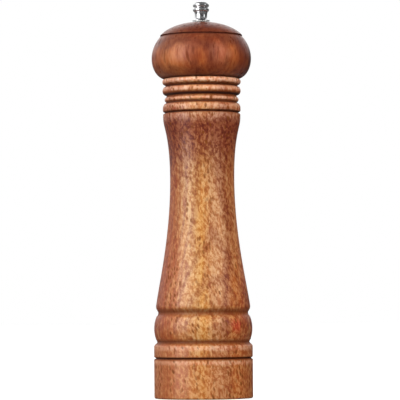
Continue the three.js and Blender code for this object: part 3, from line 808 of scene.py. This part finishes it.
def shaftMesh():
    s = named(shaft)
    thread = threadShape(s.root, s.pitch, s.depth, s.threadLow, s.top - 0.4)
    rows = [(s.bottom, "easedSquare"), (s.bottom + 0.25, "square")]
    rows += [(z, "square") for z in levels(s.bottom + 2, s.shoulder - 0.6, 30)]
    rows += [(s.shoulder - 0.25, "square"), (s.shoulder, "cone"), (s.threadLow - 0.6, "cone")]
    rows += [(z, "thread") for z in levels(s.threadLow, s.top - 0.5, s.pitch / 8)]
    rows += [(s.top, "end")]
    loops = []
    for z, kind in rows:
        loop = []
        for k in range(s.sides):
            a = tau * k / s.sides
            square = squareRadius(a, s.side, s.ease)
            cone = 2.95 - 0.8 * max(0, z - s.shoulder)
            r = {"square": square, "easedSquare": square - 0.25, "cone": min(square, cone),
                 "thread": thread(a, z), "end": s.root - 0.35}[kind]
            loop.append(polar(r, a, z))
        loops.append(loop)
    bar = skin("shaft", loops, wrap=False)
    drill = turnedMesh("drill", [(0, s.bottom - 1), (s.drill, s.bottom - 1),
                                 (s.drill, s.bottom + s.drillDepth), (0, s.bottom + s.drillDepth + 0.8)], 48)
    return carved(bar, [drill])


place(shaftMesh(), "shaftSquare", "spindle", "shaft_aluminium", "shaft", sharp=30)
print("shaft made")


# Drive plate, spring seat, bridge, retaining ring and washers.

plates = {
    "drive": {"radius": 15.2, "low": 191.0, "high": 192.2, "square": 6.2, "circle": 11.2, "hole": 1.35, "edge": 0.18},
    "seat": {"radius": 6.4, "low": 29.0, "high": 30.0, "square": 6.2, "edge": 0.15},
    "bridge": {"radius": 14.2, "low": 30.1, "high": 31.3, "arm": 12.0, "rim": 12.3, "hole": 4.6, "edge": 0.2},
    "ring": {"radius": 21.0, "inner": 13.2, "low": 8.8, "high": 9.9, "circle": 18.9, "hole": 1.4, "edge": 0.18},
}


def screwHoles(plate):
    return [circlePoints(x, y, plate["hole"], 32) for x, y in circlePoints(0, 0, plate["circle"], 3)]


def bridgeWindow(bridge, side):
    # the opening on one side of the bridge's arm
    edge = asin(bridge["arm"] / 2 / bridge["rim"])
    span, steps = pi - 2 * edge, 40
    angles = [side + edge - pi / 2 + span * i / steps for i in range(steps + 1)]
    return eased([polar(bridge["rim"], a) for a in angles], 0.8, 4)


def placePlate(p, name, body, stands, sides, holes):
    mesh = plateMesh(name, circlePoints(0, 0, p["radius"], sides), holes, p["low"], p["high"], p["edge"])
    place(mesh, name, body, "zinc_steel", stands)


p = plates["drive"]
placePlate(p, "drivePlateStamped", "crown", "drive_plate", 128, [squarePoints(p["square"], 0.35)] + screwHoles(p))
p = plates["seat"]
placePlate(p, "springSeatStamped", "drive_seat", "spring_seat", 96, [squarePoints(p["square"], 0.35)])
p = plates["bridge"]
windows = [bridgeWindow(p, 0), bridgeWindow(p, pi)]
placePlate(p, "bridgeStamped", "mill_body", "bridge", 128, windows + [circlePoints(0, 0, p["hole"], 64)])
p = plates["ring"]
placePlate(p, "retainingRingStamped", "mill_body", "retaining_ring", 160,
           [circlePoints(0, 0, p["inner"], 128)] + screwHoles(p))

springWasher = {"inner": 4.5, "outer": 6.4, "low": 19.6, "high": 20.4, "sides": 80}
rotorWasher = {"inner": 1.7, "outer": 6.2, "low": 10.1, "high": 10.9, "sides": 80}
place(washerMesh(springWasher, 0.18), "springWasherStamped", "spindle", "zinc_steel", "spring_washer")
place(washerMesh(rotorWasher, 0.18), "rotorWasherStamped", "spindle", "zinc_steel", "rotor_washer")


def lockWasherMesh(inner, outer, low, high, gap):
    # a split ring whose two ends stand slightly apart in height
    loops, count, rise = [], 96, (high - low) * 0.1
    section = eased(sectionPoints(inner, outer, low + 0.06, high - 0.06), 0.08, 2)
    for i in range(count + 1):
        t = i / count
        a = gap / 2 + (tau - gap) * t
        loops.append([polar(r, a, z + rise * (t - 0.5)) for r, z in section])
    return skin("lockWasher", loops, wrap=False)


mesh = lockWasherMesh(inner=1.65, outer=3.0, low=9.4, high=10.0, gap=0.28)
place(mesh, "lockWasherSplit", "spindle", "zinc_steel", "rotor_lock_washer")
print("plates and washers made")


# Spring.

spring = {"wire": 0.45, "wireSides": 14, "radius": 5.3, "low": 20.5, "high": 28.9, "turns": 5.5, "steps": 36,
          "top": 29.0, "travel": 2.4}


def springMesh():
    # the end coils lie flat, the ones between them rise
    s = named(spring)
    count = round(s.turns * s.steps)
    low, high, pitch = s.low + s.wire, s.high - s.wire, s.wire * 2.05
    loops = []
    for i in range(count + 1):
        turn = s.turns * i / count
        first, last = min(turn, 1.0), max(0.0, turn - (s.turns - 1.0))
        middle = min(max((turn - 1.0) / (s.turns - 2.0), 0.0), 1.0)
        height = low + pitch * (first + last) * 0.5 + (high - low - pitch) * middle
        a = tau * turn
        inward = 0.12 * (1 - min(1.0, turn * 3) + 1 - min(1.0, (s.turns - turn) * 3))
        wire = circlePoints(s.radius - inward, height, s.wire, s.wireSides)
        loops.append([polar(r, a, z) for r, z in wire])
    return skin("spring", loops, wrap=False)


springPiece = place(springMesh(), "springCoiled", "drive_seat", "spring_steel", "spring", sharp=50)
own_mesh(springPiece)
print("spring wound")


# Grinder.

burr = {"teeth": 24, "depth": 0.75, "bottom": 8.9, "mouth": 12.1, "slope": 0.2308, "skirt": 14.6, "top": 19.4,
        "ribs": 6, "ribDepth": 2.0, "ribFoot": 10.4, "hollow": 8.6, "hollowTop": 11.0, "hub": 5.45,
        "socketHalf": 5.32, "lean": 0.16, "ribLean": 0.11, "sides": 360}
statorRing = {"outer": 14.2, "bottom": 10.0, "mouth": 12.6, "throat": 16.5, "throatRadius": 11.1,
              "top": 30.0, "topRadius": 13.1, "depth": 0.75, "lean": -0.2,
              "notch": 1.25, "notchHalf": (1.0, 1.35), "notchTop": 22.0, "sides": 360}


def tooth(phase, steep=0.3):
    # 0 at a tooth's crest, 1 at its root, steeper on one flank
    t = phase - floor(phase)
    return t / steep if t < steep else 1 - (t - steep) / (1 - steep)


def between(value, low, high):
    t = min(1.0, max(0.0, (value - low) / (high - low)))
    return t * t * (3 - 2 * t)


def rotorMesh():
    b = named(burr)
    crest = lambda z: b.mouth - b.slope * (z - b.bottom)
    outer = [(crest(b.bottom) - 0.15, b.bottom), (crest(b.bottom + 0.15), b.bottom + 0.15)]
    outer += [(crest(z), z) for z in levels(b.bottom + 0.5, b.skirt, 0.5)]
    outer += [(b.ribFoot, b.skirt + 0.4)]
    ribRows = levels(b.skirt + 0.8, b.top - 1, 0.3)
    outer += [(b.ribFoot - 0.05 - 1.75 * ((z - 15) / 3.4) ** 1.2, z) for z in ribRows]
    outer += [(7.6, b.top - 0.35), (7.0, b.top)]
    inner = [(b.hub, b.top), (b.hub, b.hollowTop), (b.hollow - 1.2, b.hollowTop),
             (b.hollow - 0.5, b.hollowTop - 0.7), (b.hollow, b.bottom + 0.25),
             (b.hollow + 0.25, b.bottom)]
    count = len(outer)

    def shape(angle, r, z, index):
        if index >= count:
            if index < count + 2:  # a six-sided socket for the driver
                a = (angle + pi / 6) % (pi / 3) - pi / 6
                return b.socketHalf / cos(a)
            return r
        fineCut = b.depth * tooth(b.teeth * angle / tau + b.lean * (z - b.bottom))
        ribCut = b.ribDepth * tooth(b.ribs * angle / tau + b.ribLean * (z - b.skirt), 0.22)
        blend = between(z, b.skirt - 0.3, b.skirt + 0.6)
        fade = 1 - between(z, b.top - 1.6, b.top - 0.2)
        return r - (fineCut * (1 - blend) + ribCut * blend * fade)

    return turnedMesh("rotor", outer + inner, b.sides, shape)


def statorMesh():
    s = named(statorRing)
    outer = [(s.outer - 0.3, s.bottom), (s.outer, s.bottom + 0.3),
             (s.outer, s.notchTop - 0.05), (s.outer, s.notchTop + 0.05),
             (s.outer, s.top - 0.3), (s.outer - 0.3, s.top)]
    inner = [(s.topRadius + 0.2, s.top), (s.topRadius, s.top - 0.2)]
    slope = (s.topRadius - s.throatRadius - 0.5) / (s.top - s.throat - 3)
    inner += [(s.topRadius - slope * (s.top - z), z) for z in levels(s.top - 1, s.throat + 3, 0.7)]
    inner += [(s.throatRadius + 0.5 * (z - s.throat) / 3, z) for z in levels(s.throat + 2.5, s.throat, 0.5)]
    cone = (s.mouth - s.throatRadius) / (s.throat - s.bottom)
    inner += [(s.throatRadius + cone * (s.throat - z), z) for z in levels(s.throat - 0.5, s.bottom + 0.15, 0.5)]
    inner += [(s.mouth + 0.15, s.bottom)]
    count = len(outer)

    def shape(angle, r, z, index):
        if index < count:
            # three notches that the housing's ribs fit
            away = abs(angle % (tau / 3) - pi / 3)
            notch = s.notch * (1 - between(away * s.outer, *s.notchHalf))
            return r - notch if z < s.notchTop else r
        fineCut = s.depth * tooth(burr["teeth"] * angle / tau + s.lean * (z - s.bottom), 0.7)
        fade = 1 - between(z, s.throat + 2.5, s.throat + 6)
        return min(r + fineCut * fade, s.outer - 0.7)

    return turnedMesh("stator", outer + inner, s.sides, shape)


place(rotorMesh(), "rotorBurr", "spindle", "ceramic", "rotor", sharp=28)
place(statorMesh(), "statorBurr", "mill_body", "ceramic", "stator", sharp=28)

driver = {"flats": 10.4, "ease": 0.3, "square": 6.2, "squareEase": 0.4, "low": 11.0, "high": 19.5, "edge": 0.2}
hexCorner = driver["flats"] / 2 / cos(pi / 6)
hexAngles = [tau * (i + 0.5) / 6 for i in range(6)]
hexagon = eased([polar(hexCorner, a) for a in hexAngles], driver["ease"])
mesh = plateMesh("driver", hexagon, [squarePoints(driver["square"], driver["squareEase"])],
                 driver["low"], driver["high"], driver["edge"])
place(mesh, "rotorDriverMoulded", "spindle", "black_nylon", "rotor_driver")

housing = {"inner": 14.35, "outer": 16.4, "flange": 21.0, "bottom": 10.0, "flangeTop": 11.9, "top": 33.6,
           "lip": 12.2, "lipLow": 31.4, "ribCircle": 14.7, "rib": 1.0, "ribTop": 21.0,
           "screwCircle": 18.9, "hole": 1.35, "sides": 192}


def housingMesh():
    h = named(housing)
    line = [(h.inner, h.bottom), (h.flange, h.bottom), (h.flange, h.flangeTop), (h.outer, h.flangeTop),
            (h.outer, h.top), (h.lip, h.top), (h.lip, h.lipLow), (h.inner, h.lipLow)]
    shell = turnedMesh("housing", eased(line, 0.3, 3), h.sides)
    rib, low, high = h.rib, h.bottom, h.ribTop
    post = turnedMesh("rib", [(0, low + 0.1), (rib - 0.15, low + 0.1), (rib, low + 0.25), (rib, high - 0.2),
                              (rib - 0.2, high), (0, high)], 24)
    drill = turnedMesh("drill", [(0, low - 1), (h.hole, low - 1), (h.hole, h.flangeTop + 1),
                                 (0, h.flangeTop + 1)], 32)
    ribs, holes = [], []
    for i in range(3):
        angle = tau * i / 3
        ribs.append(moved(post, *polar(h.ribCircle, angle + pi / 3)))
        holes.append(moved(drill, *polar(h.screwCircle, angle)))
    return carved(carved(shell, ribs, "UNION"), holes)


place(housingMesh(), "burrHousingMoulded", "mill_body", "black_nylon", "burr_housing")
print("grinder made")


# Floor, light and camera.

studio = {
    "floor": (0.82, 0.82, 0.82), "floorGlow": 0.72, "floorSize": 14.0,
    "sky": {"dim": 0.04, "left": 0.6, "right": 0.03, "behind": 0.16, "behindHigh": 1.5, "below": 0.01,
            "tableGlow": 0.22, "canopy": 0.22},
    # name: place, aim height, width, height, power, and whether gloss shows it
    "lamps": {"leftSoftbox": ((-1.04, -0.82, 0.45), 0.13, 0.9, 1.3, 15.0, True),
              "rightSoftbox": ((0.8, -1.08, 0.42), 0.13, 0.7, 1.2, 8.5, False),
              "rightHigh": ((0.8, -0.93, 0.8), 0.15, 0.42, 0.5, 7.5, False),
              "rightSide": ((1.3, -0.62, 0.44), 0.24, 0.4, 0.36, 1.15, True),
              "frontFill": ((0.1, -2.2, 0.5), 0.13, 1.6, 1.6, 4.4, False),
              "topSoftbox": ((-0.2, -1.0, 1.35), 0.13, 1.0, 0.6, 5.0, False)},
    "cameraPlace": (0.0, -1.72, 0.059), "cameraAim": (-0.0015, 0.0, 0.1266), "lens": 242.0, "roll": -0.42,
}


def floorPiece():
    size = studio["floorSize"]
    work = bmesh.new()
    bmesh.ops.create_grid(work, x_segments=24, y_segments=24, size=size / 2)
    mesh = bpy.data.meshes.new("floor")
    work.to_mesh(mesh)
    work.free()
    s = newMaterial("paleFloor")
    patch = s.noise(s.coords((0.004, 0.004, 0.004)), 1.0, 3.0)
    r, g, b = studio["floor"]
    colour = s.mix(s.remap(patch, 0.3, 0.7), (r, g, b), (r * 0.985, g * 0.985, b * 0.985))
    material = s.finish(colour, 0.8, {"Emission Color": (1, 1, 1, 1), "Emission Strength": studio["floorGlow"],
                                      "Specular IOR Level": 0.2})
    mesh.materials.append(material)
    piece = linked("floor", mesh)
    piece.location.z = -0.0002  # just under the foot
    piece.visible_diffuse = piece.visible_glossy = False  # it is seen, but throws no light up at the mill


def pointAt(item, spot, aim, roll=0.0):
    item.location = spot
    turn = (Vector(aim) - Vector(spot)).to_track_quat("-Z", "Y")
    item.rotation_mode = "QUATERNION"
    item.rotation_quaternion = turn @ Matrix.Rotation(radians(roll), 4, "Z").to_quaternion()


floorPiece()
for name, (spot, aimHeight, width, height, power, mirrored) in studio["lamps"].items():
    lamp = bpy.data.lights.new(name, "AREA")
    lamp.shape, lamp.size, lamp.size_y, lamp.energy = "RECTANGLE", width, height, power
    item = linked(name, lamp)
    pointAt(item, spot, (0, 0, aimHeight))
    item.visible_camera, item.visible_glossy = False, mirrored

sky = Shading(bpy.data.worlds.new("studio"))
bpy.context.scene.world = sky.owner
skyLook = studio["sky"]
way = sky.add("SeparateXYZ", {0: sky.add("TexCoord").outputs["Generated"]}).outputs
rays = sky.add("LightPath").outputs


def skyRise(axis, start, end, height=1.0):
    # climbs from 0 to height between two values of the direction's part along one axis
    return sky.remap(way[axis], start, end, (0.0, height), smooth=False)


# a dim room, brighter to the left, with a lit wall behind
brightness = skyLook["dim"]
for axis, start, end, side in (("X", -0.15, -0.8, "left"), ("X", 0.3, 0.9, "right"), ("Y", 0.85, 1.0, "behind")):
    brightness = sky.plus(brightness, skyRise(axis, start, end, skyLook[side]))
high = sky.times(skyRise("Y", 0.5, 0.9, skyLook["behindHigh"]), skyRise("Z", 0.1, 0.3))
brightness = sky.times(sky.plus(brightness, high), skyRise("Z", -0.15, 0.05))
brightness = sky.plus(brightness, skyLook["below"])
# gloss also sees a pale table below and a soft band of light above
glossy = rays["Is Glossy Ray"]
table = sky.times(glossy, skyRise("Z", -0.08, -0.35, skyLook["tableGlow"]))
canopy = sky.times(skyRise("Z", 0.18, 0.4, skyLook["canopy"]), skyRise("Z", 0.88, 0.72))
brightness = sky.plus(brightness, sky.plus(table, sky.times(glossy, canopy)))
# the camera itself sees plain white
white = (1, 1, 1, 1)
glow = sky.add("Background", {0: white, 1: brightness})
seen = sky.add("Background", {0: white, 1: 1.0})
either = sky.add("MixShader", {0: rays["Is Camera Ray"], 1: glow.outputs[0], 2: seen.outputs[0]})
sky.add("OutputWorld", {0: either.outputs[0]})

lens = bpy.data.cameras.new("camera")
lens.lens, lens.sensor_width = studio["lens"], 36.0
lens.clip_start, lens.clip_end = 0.05, 20.0
camera = linked("camera", lens)
pointAt(camera, studio["cameraPlace"], studio["cameraAim"], studio["roll"])
bpy.context.scene.camera = camera
bpy.context.scene.view_settings.view_transform = "Standard"
print("studio set")
